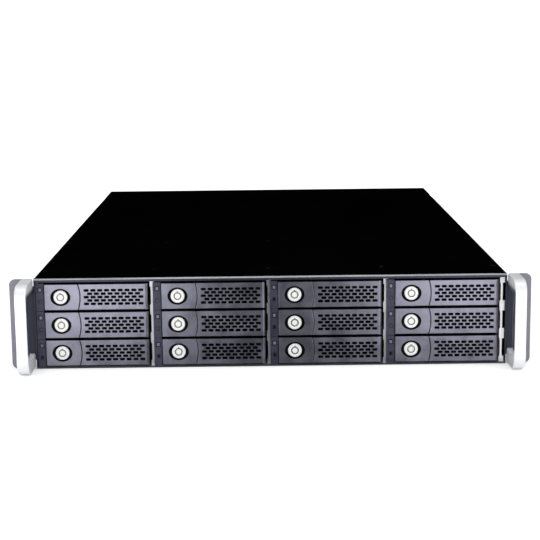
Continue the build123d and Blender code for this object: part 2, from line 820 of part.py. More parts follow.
# Fans: square frames with a bore, and a motor plate on four struts behind it
y_fan = panel_end + fan_setback
fan_z = sheet + fan_size / 2
fan_bore = fan_size / 2 - fan_bore_margin
frames = []
for side, name in ((-1, "left"), (0, "middle"), (1, "right")):
    fan_x = side * fan_spacing
    with BuildPart() as frame:
        with Locations((fan_x, y_fan + fan_depth / 2, fan_z)):
            Box(fan_size, fan_depth, fan_size)
        with BuildSketch(facing_front(y_fan + fan_depth)):
            with Locations((fan_x, fan_z)):
                Circle(fan_bore)
        extrude(amount=fan_depth, mode=Mode.SUBTRACT)
        with BuildSketch(facing_front(y_fan + fan_depth)):
            with Locations((fan_x, fan_z)):
                Circle(hub_radius)
                with PolarLocations(0, 4, start_angle=45):
                    with Locations((fan_bore / 2, 0)):
                        Rectangle(fan_bore + 1.0, 4.0)
        extrude(amount=motor_sheet)
        with BuildSketch(facing_front(y_fan + fan_depth)):
            with Locations((fan_x, fan_z)):
                Circle(axle_radius)
        extrude(amount=fan_depth - motor_sheet)
        with BuildSketch(facing_front(y_fan + fan_depth)):
            with Locations((fan_x, fan_z)):
                with GridLocations(71.5, 71.5, 2, 2):
                    Circle(2.2)
        extrude(amount=fan_depth, mode=Mode.SUBTRACT)
    frames.append(frame.part)
    y_hub = y_fan + hub_gap
    hub_depth = fan_depth - motor_sheet - hub_gap - 1.0
    with BuildPart() as rotor:
        tip = fan_bore - blade_tip_gap
        for blade in range(blade_count):
            turn = 360 / blade_count * blade
            spoke = Plane(
                (fan_x, y_hub + hub_depth / 2, fan_z),
                x_dir=(math.cos(math.radians(turn)), 0, math.sin(math.radians(turn))),
                z_dir=(0, -1, 0),
            )
            with Locations(spoke.rotated((blade_pitch, 0, 0))):
                with Locations(((tip + hub_radius) / 2 - 1, 0, 0)):
                    Box(tip - hub_radius + 4, hub_depth * 0.95, blade_sheet)
        with BuildSketch(facing_front(y_hub + hub_depth)):
            with Locations((fan_x, fan_z)):
                Circle(tip)
        extrude(amount=hub_depth, mode=Mode.INTERSECT)
        with BuildSketch(facing_front(y_hub + hub_depth)):
            with Locations((fan_x, fan_z)):
                Circle(hub_radius)
        extrude(amount=hub_depth)
        with BuildSketch(facing_front(y_hub + hub_depth)):
            with Locations((fan_x, fan_z)):
                Circle(axle_radius + axle_clearance)
        extrude(amount=hub_depth, mode=Mode.SUBTRACT)
    save(rotor.part, f"fan_rotor_{name}")
whole("fan_frames", *frames)

# Main board with its sockets and its rear ports
with BuildPart() as board:
    block((board_left, board_right), (y_board, y_board + board_depth), (board_bottom, board_top))
    with BuildSketch(Plane.XY.offset(board_bottom)):
        with Locations(*[(x, y) for x in stud_x for y in stud_y]):
            Circle(stud_bore + 0.3)
    extrude(amount=board_sheet, mode=Mode.SUBTRACT)
port_shells = []
for offset, width, height in ports.values():
    left = board_left + offset
    with BuildPart() as shell:
        block((left, left + width), (y_back - 18, y_back + port_reach), (board_top, board_top + height))
        block(
            (left + 1.4, left + width - 1.4),
            (y_back - 2.0, y_back + port_reach),
            (board_top + 1.4, board_top + height - 1.4),
            mode=Mode.SUBTRACT,
        )
    port_shells.append(shell.part)
cpu_x = board_left + 0.36 * board_width
cpu_y = y_board + 0.42 * board_depth
memory_x = cpu_x + heatsink_size / 2 + 14.0
memory_y = y_board + 14.0
board_pieces = []
for place, size in (
    ((cpu_x, cpu_y), (60.0, 60.0, 5.0)),
    ((memory_x + 75, y_board + 60), (34.0, 34.0, 14.0)),
    ((memory_x + 60, y_board + 170), (11.0, 90.0, 11.0)),
    ((memory_x + 80, y_board + 170), (11.0, 90.0, 11.0)),
    ((board_left + 20, y_board + 60), (10.0, 52.0, 12.0)),
    ((memory_x + 75, y_board + 12), (46.0, 12.0, 10.0)),
    ((memory_x + 36, y_board + 196), (20.0, 20.0, 4.0)),
):
    with BuildPart() as block_on_board:
        with Locations((place[0], place[1], board_top + size[2] / 2)):
            Box(*size)
    board_pieces.append(block_on_board.part)
memory_sockets = []
modules = []
for index in range(memory_count):
    x = memory_x + index * memory_pitch
    with BuildPart() as memory_socket:
        block((x - 3, x + 3), (memory_y - 4, memory_y + memory_length + 4), (board_top, board_top + 7))
        groove_y = (memory_y, memory_y + memory_length)
        block((x - 0.7, x + 0.7), groove_y, (board_top + 3, board_top + 7), mode=Mode.SUBTRACT)
    memory_sockets.append(memory_socket.part)
    with BuildPart() as module:
        module_y = (memory_y + 0.1, memory_y + memory_length - 0.1)
        block((x - 0.65, x + 0.65), module_y, (board_top + 3, board_top + 3 + memory_height))
        with Locations(*[(x, memory_y + 14 + 13 * chip, board_top + 21) for chip in range(9)]):
            Box(3.4, 9.0, 12.0)
    modules.append(module.part)
whole("motherboard", board.part, *port_shells, *board_pieces, *memory_sockets)
whole("memory_modules", *modules)

with BuildPart() as heatsink:
    cpu_top = board_top + 5.0
    with Locations((cpu_x, cpu_y, cpu_top + 3)):
        Box(heatsink_size, heatsink_size, 6)
    fins = int(heatsink_size / fin_pitch)
    with BuildSketch(Plane.XY.offset(cpu_top + 6)):
        with Locations((cpu_x, cpu_y)):
            with GridLocations(fin_pitch, 1, fins, 1):
                Rectangle(fin_sheet, heatsink_size)
    extrude(amount=heatsink_height - 6)
save(heatsink.part, "cpu_heatsink")

# Supplies: sealed modules with an inlet, air holes, a pull handle and a side latch
for bottom, name in zip(psu_bottoms, ("lower", "upper")):
    middle = bottom + psu_height / 2
    inlet_x = psu_left + 18.0
    air_x = psu_right - 27.0
    latch_z = bottom + psu_height - latch_drop
    pocket_right = psu_right - latch_inset
    pocket_left = pocket_right - latch_width
    with BuildPart() as supply:
        block((psu_left, psu_right), (y_psu, y_back), (bottom, bottom + psu_height))
        fillet(supply.edges().filter_by(Axis.Y), 0.8)
        with BuildSketch(facing_front(y_back)):
            with Locations((inlet_x, middle - 1)):
                RectangleRounded(inlet_width, inlet_height, 3.0)
        extrude(amount=inlet_depth, mode=Mode.SUBTRACT)
        with BuildSketch(facing_front(y_back)):
            with Locations((air_x, middle - 2)):
                with HexLocations(2.4, 8, 7):
                    RegularPolygon(1.75, 6)
        extrude(amount=2.0, mode=Mode.SUBTRACT)
        # guide pocket of the latch
        block(
            (pocket_left, pocket_right),
            (y_back - latch_depth, y_back),
            (latch_z - latch_half_height, latch_z + latch_half_height),
            mode=Mode.SUBTRACT,
        )
    with BuildPart() as pins:
        for x, z in ((-7, -2), (7, -2), (0, 3)):
            with BuildSketch(facing_front(y_back - inlet_depth)):
                with Locations((inlet_x + x, middle - 1 + z)):
                    Rectangle(2.0, 4.0)
            extrude(amount=-inlet_depth + 2.0)
    with BuildPart() as pull:
        pull_path_y = (y_back, y_back + psu_handle_reach)
        pull_x = psu_left + 41.0
        block((pull_x - 4, pull_x + 4), pull_path_y, (bottom + 3.0, bottom + 37.0))
        block(
            (pull_x - 4, pull_x + 4),
            (y_back, pull_path_y[1] - psu_handle_bar),
            (bottom + 3.0 + psu_handle_bar, bottom + 37.0 - psu_handle_bar),
            mode=Mode.SUBTRACT,
        )
        fillet(pull.edges().filter_by(Axis.X).sort_by(Axis.Y)[-2:], 5.0)
    whole(f"psu_{name}", supply.part, *pins.part.solids(), pull.part)
    with BuildPart() as latch:
        gap = latch_clearance
        block(
            (pocket_left + gap, pocket_right - latch_travel - gap),
            (y_back - latch_depth + gap, y_back - 0.5),
            (latch_z - latch_half_height + gap, latch_z + latch_half_height - gap),
        )
        thumb_x = (pocket_left + 3, pocket_left + 7)
        block(thumb_x, (y_back - 1.0, y_back + 9.0), (latch_z - 2.3, latch_z + 2.3))
        fillet(latch.faces().sort_by(Axis.Y)[-1].edges().filter_by(Axis.Z), 1.6)
    save(latch.part, f"psu_latch_{name}")

# Power button in the rear wall, with a stop collar inside
with BuildPart() as power_button:
    with BuildSketch(facing_front(y_back + button_proud)):
        with Locations((button_x, button_z)):
            Circle(button_radius)
    extrude(amount=button_proud + sheet + button_depth)
    fillet(power_button.faces().sort_by(Axis.Y)[-1].edges(), 0.8)
    with BuildSketch(facing_front(y_back - sheet - 0.1)):
        with Locations((button_x, button_z)):
            Circle(button_radius + button_collar)
    extrude(amount=button_collar)
save(power_button.part, "power_button")

# Cables from the backplane, between the fans and down to the main board
cable_high = socket_low + 4.0
cable_runs = []
for start_x, end_x, end_y, end_z in (
    (-52.0, board_left + 20, y_board + 60, board_top + 12.0),
    (52.0, memory_x + 75, y_board + 12, board_top + 10.0),
):
    points = (
        (start_x, plane_y[1] + socket_reach, cable_high),
        (start_x, y_fan + fan_depth + 14, cable_high),
        (end_x, end_y - 44, cable_drop),
        (end_x, end_y, cable_drop),
        (end_x, end_y, end_z),
    )
    with BuildPart() as cable:
        with BuildLine() as path:
            FilletPolyline(*points, radius=cable_bend)
        with BuildSketch(Plane(origin=path.line @ 0, z_dir=path.line % 0)):
            Circle(cable_radius)
        sweep()
    cable_runs.append(cable.part)
whole("cables", *cable_runs)

# Screws of the ears, the handles and the board
screws = []
for side in (-1, 1):
    ear_face = facing_side(side * (half_width + ear_flange_sheet))
    for place in ear_holes:
        with BuildPart() as ear_screw:
            with BuildSketch(ear_face):
                with Locations(place):
                    Circle(ear_screw_radius)
            extrude(amount=-side * (ear_flange_sheet + sheet))
            with BuildSketch(ear_face):
                with Locations(place):
                    Circle(ear_screw_head)
            extrude(amount=side * 1.4)
        screws.append(ear_screw.part)
    for z in leg_z:
        with BuildPart() as handle_screw:
            with BuildSketch(facing_front(y_ear + ear_sheet)):
                with Locations((side * handle_screw_x, z)):
                    Circle(handle_screw_radius)
            extrude(amount=ear_sheet + handle_screw_depth)
            with BuildSketch(facing_front(y_ear + ear_sheet)):
                with Locations((side * handle_screw_x, z)):
                    Circle(handle_screw_head)
            extrude(amount=-handle_screw_radius)
        screws.append(handle_screw.part)
for x in stud_x:
    for y in stud_y:
        with BuildPart() as board_screw:
            with Locations((x, y, board_top - board_sheet / 2)):
                Cylinder(stud_bore - 0.1, board_sheet)
            with Locations((x, y, board_top + board_sheet / 2)):
                Cylinder(stud_radius, board_sheet)
        screws.append(board_screw.part)
whole("fasteners", *screws)
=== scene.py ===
import math
import random

import bmesh
import bpy
import numpy as np
from mathutils import Matrix, Vector


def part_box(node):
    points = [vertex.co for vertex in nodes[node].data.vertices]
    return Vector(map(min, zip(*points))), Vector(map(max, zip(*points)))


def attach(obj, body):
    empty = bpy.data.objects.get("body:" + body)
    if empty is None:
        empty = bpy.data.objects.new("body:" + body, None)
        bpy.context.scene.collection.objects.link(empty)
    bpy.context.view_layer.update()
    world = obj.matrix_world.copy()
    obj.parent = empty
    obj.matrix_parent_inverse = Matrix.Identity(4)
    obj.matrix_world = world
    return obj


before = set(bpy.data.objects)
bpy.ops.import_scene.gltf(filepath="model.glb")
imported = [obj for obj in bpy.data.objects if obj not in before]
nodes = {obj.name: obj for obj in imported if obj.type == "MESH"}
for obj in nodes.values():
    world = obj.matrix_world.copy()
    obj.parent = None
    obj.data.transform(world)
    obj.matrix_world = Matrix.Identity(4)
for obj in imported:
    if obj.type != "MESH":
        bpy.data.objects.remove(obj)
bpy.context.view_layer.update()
mm = 0.001
print("frame loaded", len(nodes), "nodes")

scene = bpy.context.scene
scene.view_settings.view_transform = "Standard"
scene.view_settings.look = "None"

# places that several pieces share, all read from the frame
bodyLow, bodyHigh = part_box("chassis_base")
frontY = bodyLow.y
backY = bodyHigh.y
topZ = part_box("front_top_panel")[1].z
near = 0.1 * mm  # how far a face may lie past the plane that bounds its finish
handleLow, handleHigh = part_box("handle_right")
earEdge = (handleLow.x + handleHigh.x) / 2
bayNames = [f"{column}{row}" for column in range(1, 5) for row in range(1, 4)]


def newMaterial(name):
    material = bpy.data.materials.new(name)
    material.use_nodes = True
    tree = material.node_tree
    shader = tree.nodes["Principled BSDF"]
    return material, tree, shader


def patternVector(tree, stretch):
    coords = tree.nodes.new("ShaderNodeTexCoord")
    mapping = tree.nodes.new("ShaderNodeMapping")
    mapping.inputs["Scale"].default_value = stretch
    tree.links.new(coords.outputs["Object"], mapping.inputs["Vector"])
    return mapping.outputs["Vector"]


def noiseOutput(tree, vector, scale, detail=3.0, rough=0.55):
    noise = tree.nodes.new("ShaderNodeTexNoise")
    noise.inputs["Scale"].default_value = scale
    noise.inputs["Detail"].default_value = detail
    noise.inputs["Roughness"].default_value = rough
    tree.links.new(vector, noise.inputs["Vector"])
    return noise.outputs["Fac"]


def spread(tree, source, low, high, fromLow=0.3, fromHigh=0.7):
    # maps a pattern onto the range low to high
    span = tree.nodes.new("ShaderNodeMapRange")
    span.inputs["From Min"].default_value = fromLow
    span.inputs["From Max"].default_value = fromHigh
    span.inputs["To Min"].default_value = low
    span.inputs["To Max"].default_value = high
    tree.links.new(source, span.inputs["Value"])
    return span.outputs["Result"]


def mixColours(tree, factor, first, second):
    mix = tree.nodes.new("ShaderNodeMix")
    mix.data_type = "RGBA"
    mix.inputs["A"].default_value = (*first, 1)
    mix.inputs["B"].default_value = (*second, 1)
    tree.links.new(factor, mix.inputs["Factor"])
    return mix.outputs["Result"]


def addUp(tree, first, second, share):
    # first times share, plus second
    total = tree.nodes.new("ShaderNodeMath")
    total.operation = "MULTIPLY_ADD"
    total.inputs[1].default_value = share
    tree.links.new(first, total.inputs[0])
    tree.links.new(second, total.inputs[2])
    return total.outputs[0]


def shade(colour, amount):
    return tuple(min(1.0, max(0.0, c * amount)) for c in colour)


def finish(name, colour, metal=0.0, rough=0.45, roughSpread=0.08, grain=900.0, stretch=(1, 1, 1),
           vary=0.12, cloud=25.0, bump=0.05, bumpDepth=0.0002, spec=0.5, coat=0.0, coatRough=0.1):
    # clouds and grain in the colour, handling marks and grain in the roughness, grain as bump
    material, tree, shader = newMaterial(name)
    vector = patternVector(tree, stretch)
    fine = noiseOutput(tree, vector, grain, 2.0, 0.6)
    clouds = noiseOutput(tree, vector, cloud, 3.0, 0.5)
    tone = spread(tree, addUp(tree, fine, spread(tree, clouds, 0.0, 0.4), 0.6), 0.0, 1.0)
    tree.links.new(mixColours(tree, tone, shade(colour, 1 - vary), shade(colour, 1 + vary)),
                   shader.inputs["Base Color"])
    marks = spread(tree, clouds, -roughSpread, roughSpread, 0.35, 0.65)
    tree.links.new(addUp(tree, marks, spread(tree, fine, rough - roughSpread, rough + roughSpread), 0.5),
                   shader.inputs["Roughness"])
    raised = tree.nodes.new("ShaderNodeBump")
    raised.inputs["Strength"].default_value = bump
    raised.inputs["Distance"].default_value = bumpDepth
    tree.links.new(fine, raised.inputs["Height"])
    tree.links.new(raised.outputs["Normal"], shader.inputs["Normal"])
    shader.inputs["Metallic"].default_value = metal
    shader.inputs["Specular IOR Level"].default_value = spec
    shader.inputs["Coat Weight"].default_value = coat
    shader.inputs["Coat Roughness"].default_value = coatRough
    return material


trayEnamel = finish("trayEnamel", (0.36, 0.36, 0.45), metal=0.9, rough=0.36, grain=1500, vary=0.25,
                    cloud=70, bump=0.25, bumpDepth=0.0001)
stripEnamel = finish("stripEnamel", (0.055, 0.058, 0.09), metal=0.5, rough=0.42, grain=1500, vary=0.25,
                     cloud=90, bump=0.25, bumpDepth=0.0001)
# black for the trays' sides and printed marks, and painted shade in pockets, slots, grooves, screw recesses
# and vent holes
blackAndPaintedShade = finish("blackAndPaintedShade", (0.0025, 0.0025, 0.004), rough=0.6, grain=700, vary=0.2, spec=0.15)
lockSilver = finish("lockSilver", (0.72, 0.72, 0.71), metal=0.15, rough=0.3, grain=900, vary=0.03)
keywayGrey = finish("keywayGrey", (0.36, 0.36, 0.37), metal=0.5, rough=0.4, grain=900, vary=0.1)
lensSmoke = finish("lensSmoke", (0.006, 0.007, 0.014), rough=0.2, roughSpread=0.03, grain=300, vary=0.2,
                   bump=0.01, coat=0.4)
lensPale = finish("lensPale", (0.12, 0.12, 0.18), rough=0.25, roughSpread=0.03, grain=300, vary=0.15,
                  bump=0.01, coat=0.4)
blackPaint = finish("blackPaint", (0.0010, 0.0010, 0.0016), rough=0.5, grain=1100, vary=0.3, cloud=12,
                    bump=0.35, bumpDepth=0.00012, spec=0.12)
brightZinc = finish("brightZinc", (0.74, 0.74, 0.77), metal=0.8, rough=0.34, grain=260, stretch=(1, 1, 0.2),
                    vary=0.12, cloud=40)
innerZinc = finish("innerZinc", (0.42, 0.43, 0.45), metal=0.7, rough=0.4, grain=160, stretch=(1, 0.4, 1),
                   vary=0.2, cloud=55)
trimSlate = finish("trimSlate", (0.045, 0.047, 0.068), metal=0.6, rough=0.35, grain=500, stretch=(0.05, 1, 1),
                   vary=0.15)
# painted highlight: a brighter metal than the slate front for the trim rail's upward front bevel, standing
# for the light its bend catches
trimPaintedHighlight = finish("trimPaintedHighlight", (0.36, 0.36, 0.40), metal=0.85, rough=0.22, grain=700, stretch=(0.03, 1, 1),
                    vary=0.06)
earGreyWithPaintedShade = finish("earGreyWithPaintedShade", (0.21, 0.20, 0.24), metal=0.2, rough=0.42, grain=1300, vary=0.12, bump=0.2,
                 bumpDepth=0.0001, spec=0.12)
flangeZinc = finish("flangeZinc", (0.93, 0.93, 0.94), metal=0.1, rough=0.4, grain=300, vary=0.05)
satinSilver = finish("satinSilver", (0.90, 0.90, 0.93), metal=0.35, rough=0.36, grain=1600, vary=0.04,
                     bump=0.05, bumpDepth=0.00006)
# painted shade: a darker copy of the handle's silver for its side faces
handlePaintedShade = finish("handlePaintedShade", (0.44, 0.45, 0.47), rough=0.36, grain=1600, vary=0.08, bump=0.05,
                     bumpDepth=0.00006, spec=0.12)
rawAluminium = finish("rawAluminium", (0.58, 0.59, 0.61), metal=0.75, rough=0.38, grain=400,
                      stretch=(1, 0.1, 1), vary=0.12)
castMetal = finish("castMetal", (0.30, 0.31, 0.33), metal=0.6, rough=0.5, grain=900, vary=0.15, bump=0.4,
                   bumpDepth=0.0002)
solderMask = finish("solderMask", (0.012, 0.085, 0.035), rough=0.32, grain=120, vary=0.35, cloud=60,
                    bump=0.2, bumpDepth=0.0001, coat=0.3)
chipBlack = finish("chipBlack", (0.012, 0.012, 0.013), rough=0.55, grain=900, vary=0.2, bump=0.2)
socketIvory = finish("socketIvory", (0.55, 0.53, 0.46), rough=0.45, grain=700, vary=0.08)
goldPins = finish("goldPins", (0.75, 0.52, 0.20), metal=0.9, rough=0.3, grain=500, vary=0.1)
fanBlack = finish("fanBlack", (0.010, 0.010, 0.011), rough=0.42, grain=700, vary=0.2, bump=0.1)
latchRed = finish("latchRed", (0.30, 0.03, 0.02), rough=0.42, grain=500, vary=0.12)
cableJacket = finish("cableJacket", (0.02, 0.02, 0.024), rough=0.5, grain=600, stretch=(1, 0.1, 1), vary=0.2)
screwSteel = finish("screwSteel", (0.50, 0.50, 0.52), metal=0.6, rough=0.3, grain=600, vary=0.12)
dimScrew = finish("dimScrew", (0.12, 0.12, 0.13), metal=0.6, rough=0.35, grain=600, vary=0.12)
labelPaper = finish("labelPaper", (0.78, 0.78, 0.76), rough=0.7, grain=500, vary=0.05, cloud=80, bump=0.15)
print("finishes made", len(bpy.data.materials))


def paintShadeBand(material, colour, axis, middle, half, fade):
    # painted shade: the material is darker within half of the middle along one axis
    tree = material.node_tree
    coords = tree.nodes.new("ShaderNodeTexCoord")
    split = tree.nodes.new("ShaderNodeSeparateXYZ")
    away = tree.nodes.new("ShaderNodeMath")
    away.operation = "SUBTRACT"
    away.inputs[1].default_value = middle
    reach = tree.nodes.new("ShaderNodeMath")
    reach.operation = "ABSOLUTE"
    tree.links.new(coords.outputs["Object"], split.inputs[0])
    tree.links.new(split.outputs[axis], away.inputs[0])
    tree.links.new(away.outputs[0], reach.inputs[0])
    light = spread(tree, reach.outputs[0], 0.0, 1.0, half - fade, half)
    socket = tree.nodes["Principled BSDF"].inputs["Base Color"]
    pale = socket.links[0].from_socket
    mix = tree.nodes.new("ShaderNodeMix")
    mix.data_type = "RGBA"
    mix.inputs["A"].default_value = (*colour, 1)
    tree.links.new(light, mix.inputs["Factor"])
    tree.links.new(pale, mix.inputs["B"])
    tree.links.new(mix.outputs["Result"], socket)


# painted shade: the handles' side faces darken towards the middle of their height, and the ears darken
# inboard of the handles' middle line
paintShadeBand(handlePaintedShade, (0.04, 0.045, 0.058), "Z", 48 * mm, 30 * mm, 4 * mm)
paintShadeBand(earGreyWithPaintedShade, (0.035, 0.037, 0.05), "X", 0.0, earEdge, 0.5 * mm)


def dress(name, finishes, chooser=None):
    # chooser takes the faces' centres and normals and gives the index of each face's finish
    mesh = nodes[name].data
    mesh.materials.clear()
    for material in finishes:
        mesh.materials.append(material)
    count = len(mesh.polygons)
    if chooser is None:
        mesh.polygons.foreach_set("material_index", np.zeros(count, np.int32))
        return
    centres = np.empty(count * 3)
    normals = np.empty(count * 3)
    mesh.polygons.foreach_get("center", centres)
    mesh.polygons.foreach_get("normal", normals)
    index = chooser(centres.reshape(-1, 3), normals.reshape(-1, 3)).astype(np.int32)
    mesh.polygons.foreach_set("material_index", index)


def solidBoxes(name, weld=0.002 * mm):
    # the box of the solid that each face belongs to, as two arrays of lows and highs
    mesh = nodes[name].data
    spots = np.empty(len(mesh.vertices) * 3)
    mesh.vertices.foreach_get("co", spots)
    spots = spots.reshape(-1, 3)
    keys, spotOf = np.unique(np.round(spots / weld).astype(np.int64), axis=0, return_inverse=True)
    spotOf = spotOf.ravel()
    parent = list(range(len(keys)))

    def top(i):
        while parent[i] != i:
            parent[i] = parent[parent[i]]
            i = parent[i]
        return i

    for face in mesh.polygons:
        first = top(spotOf[face.vertices[0]])
        for corner in face.vertices[1:]:
            parent[top(spotOf[corner])] = first
    roots = np.array([top(i) for i in range(len(keys))])
    lows = np.full((len(keys), 3), np.inf)
    highs = np.full((len(keys), 3), -np.inf)
    rootOfSpot = roots[spotOf]
    np.minimum.at(lows, rootOfSpot, spots)
    np.maximum.at(highs, rootOfSpot, spots)
    faceRoot = np.array([rootOfSpot[face.vertices[0]] for face in mesh.polygons])
    return lows[faceRoot], highs[faceRoot]


def rectangle(width, height, corner=0.0, steps=5):
    # an outline round the origin, with its corners as arcs
    if corner <= 0:
        return [(-width / 2, -height / 2), (width / 2, -height / 2), (width / 2, height / 2),
                (-width / 2, height / 2)]
    points = []
    for quarter, (sx, sy) in enumerate(((1, 1), (-1, 1), (-1, -1), (1, -1))):
        for step in range(steps + 1):
            angle = math.pi / 2 * (quarter + step / steps)
            points.append((sx * (width / 2 - corner) + corner * math.cos(angle),
                           sy * (height / 2 - corner) + corner * math.sin(angle)))
    return points


def ringOf(count, radius, tooth=0.0):
    # a circle, or with a tooth height a knurled one
    return [((radius + tooth * (i % 2)) * math.cos(2 * math.pi * i / count),
             (radius + tooth * (i % 2)) * math.sin(2 * math.pi * i / count)) for i in range(count)]


def facing(direction, origin):
    # turns an outline's (u, v) and a height above the surface into a point of the box
    axes = {
        "front": ((1, 0, 0), (0, 0, 1), (0, -1, 0)), "back": ((-1, 0, 0), (0, 0, 1), (0, 1, 0)),
        "up": ((1, 0, 0), (0, 1, 0), (0, 0, 1)), "left": ((0, -1, 0), (0, 0, 1), (-1, 0, 0)),
        "right": ((0, 1, 0), (0, 0, 1), (1, 0, 0)),
    }[direction]
    u, v, w = (Vector(axis) for axis in axes)
    return lambda a, b, h: Vector(origin) + u * a + v * b + w * h


def addPlate(bm, outline, low, high, place, index=0):
    # a closed plate of the outline's shape
    bottom = [bm.verts.new(place(a, b, low)) for a, b in outline]
    top = [bm.verts.new(place(a, b, high)) for a, b in outline]
    faces = [bm.faces.new(bottom[::-1]), bm.faces.new(top)]
    for i in range(len(outline)):
        j = (i + 1) % len(outline)
        faces.append(bm.faces.new((bottom[i], bottom[j], top[j], top[i])))
    for face in faces:
        face.material_index = index


def addFrame(bm, outer, inner, low, high, place, index=0):
    # a closed ring between two outlines with as many points
    rows = [[bm.verts.new(place(a, b, h)) for a, b in outline]
            for outline, h in ((outer, low), (outer, high), (inner, high), (inner, low))]
    for k in range(4):
        first, second = rows[k], rows[(k + 1) % 4]
        for i in range(len(outer)):
            j = (i + 1) % len(outer)
            face = bm.faces.new((first[i], first[j], second[j], second[i]))
            face.material_index = index


def makePiece(name, bm, finishes, body):
    bmesh.ops.recalc_face_normals(bm, faces=bm.faces)
    mesh = bpy.data.meshes.new(name)
    bm.to_mesh(mesh)
    bm.free()
    for material in finishes:
        mesh.materials.append(material)
    piece = bpy.data.objects.new(name, mesh)
    scene.collection.objects.link(piece)
    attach(piece, body)


tray = {
    "bezelDepth": 11.6 * mm, "leverFace": 2.0 * mm, "faceEdge": 0.55 * mm,
    "lockInset": 14.9 * mm, "plateWidth": 30.8 * mm, "seamBulge": 2.0 * mm, "stripWidth": 8.0 * mm,
    "stripRecess": 1.0 * mm, "groove": 0.7 * mm, "wellHalfWidth": 9.4 * mm, "wellHalfHeight": 8.2 * mm,
    "lensLow": -4.15 * mm, "lensHigh": 7.05 * mm, "lensHalf": 1.5 * mm,
    "driveHeight": 26.1 * mm, "driveSetback": 18.0 * mm, "lidThickness": 2.05 * mm,
    "boardThickness": 1.65 * mm, "keyway": 4.6 * mm, "frontWall": 2.5 * mm, "slotReach": 5.4 * mm,
    "slotStart": 4 * mm, "frontSheet": 2.1 * mm, "railLeft": 2.4 * mm, "railRight": 0.9 * mm,
    "discDepth": 1.6 * mm,
}


def trayPlaces(bay):
    # the tray's box, its lock's axis and its middle height
    low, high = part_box(f"tray_{bay}")
    lockLow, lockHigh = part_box(f"keylock_{bay}")
    return low, high, (lockLow.x + lockHigh.x) / 2, (low.z + high.z) / 2


def dressTray(bay):
    low, high, lockX, middle = trayPlaces(bay)
    lockLeft = lockX - tray["lockInset"]
    lockRight = lockLeft + tray["plateWidth"]
    lensX = lockLeft - tray["stripWidth"] / 2

    enamel, strip, black, smoke, zinc, casting, lid, board, pale = range(9)

    def choose(centre, normal):
        x, y, z = centre[:, 0], centre[:, 1] - frontY, centre[:, 2] - middle
        index = np.full(len(centre), enamel)
        facingFront = normal[:, 1] < -0.5
        facingUpright = np.abs(normal[:, 2]) > 0.7
        onStrip = x < lockLeft - near / 5
        index[onStrip] = strip
        # sides and seams are black; the pocket behind the lever and the groove beside the strip are black as
        # painted shade
        index[~facingFront & (y > tray["faceEdge"]) & ~onStrip] = black
        index[(x > lockRight + tray["seamBulge"]) & (y > tray["leverFace"])] = black
        index[onStrip & (x > lockLeft - 1.05 * tray["groove"])] = black
        index[onStrip & facingUpright & (y > tray["stripRecess"] + near)] = black
        oval = ((x - lockX) / tray["wellHalfWidth"]) ** 2 + (z / tray["wellHalfHeight"]) ** 2
        index[(oval < 1) & (y > near / 10)] = black
        lens = (np.abs(x - lensX) < tray["lensHalf"]) & facingFront
        index[lens & (np.abs(z - tray["lensLow"]) < tray["lensHalf"])] = smoke
        index[lens & (np.abs(z - tray["lensHigh"]) < tray["lensHalf"])] = pale
        index[y > tray["bezelDepth"]] = zinc
        index[(y > tray["bezelDepth"] - near) & (y < tray["bezelDepth"] + tray["frontSheet"])] = black
        drive = (y > tray["driveSetback"] - near) & (x > low.x + tray["railLeft"])
        drive &= x < high.x - tray["railRight"]
        index[drive] = casting
        index[drive & (z > tray["driveHeight"] / 2 - tray["lidThickness"])] = lid
        index[drive & (z < tray["boardThickness"] - tray["driveHeight"] / 2)] = board
        index[drive & facingFront & (y < tray["driveSetback"] + 3 * near)] = black
        return index

    dress(f"tray_{bay}", [trayEnamel, stripEnamel, blackAndPaintedShade, lensSmoke, innerZinc, castMetal, rawAluminium,
                          solderMask, lensPale], choose)

    def chooseLever(centre, normal):
        x, depth = centre[:, 0], centre[:, 1] - frontY
        leverEnamel, leverBlackAndShade = range(2)
        index = np.full(len(centre), leverEnamel)
        # painted shade: the lever's back faces, what lies behind its front wall and its slot walls are black
        index[(normal[:, 1] > 0.3) | (depth > tray["frontWall"])] = leverBlackAndShade
        index[(np.abs(normal[:, 2]) > 0.7) & (depth > tray["faceEdge"])] = leverBlackAndShade
        # painted shade on the slot walls
        slotWallShade = (x > lockRight + tray["slotStart"]) & (x < high.x - tray["slotReach"])
        index[slotWallShade & (depth > near)] = leverBlackAndShade
        return index

    dress(f"lever_{bay}", [trayEnamel, blackAndPaintedShade], chooseLever)

    def chooseLock(centre, normal):
        reach = np.hypot(centre[:, 0] - lockX, centre[:, 2] - middle)
        depth = centre[:, 1] - frontY
        disc, keyway, barrel = range(3)
        index = np.full(len(centre), disc)
        index[(reach < tray["keyway"]) & (depth > 0.0)] = keyway
        index[depth > tray["discDepth"]] = barrel
        return index

    dress(f"keylock_{bay}", [lockSilver, keywayGrey, screwSteel], chooseLock)


lightFrame = {"size": 4.4 * mm, "line": 0.45 * mm, "low": 3.2 * mm, "lowHeight": 3.6 * mm, "proud": 0.12 * mm}
driveLabel = {"width": 62 * mm, "length": 78 * mm, "corner": 2 * mm, "setback": 34 * mm, "thick": 0.08 * mm,
              "sunk": 0.02 * mm}


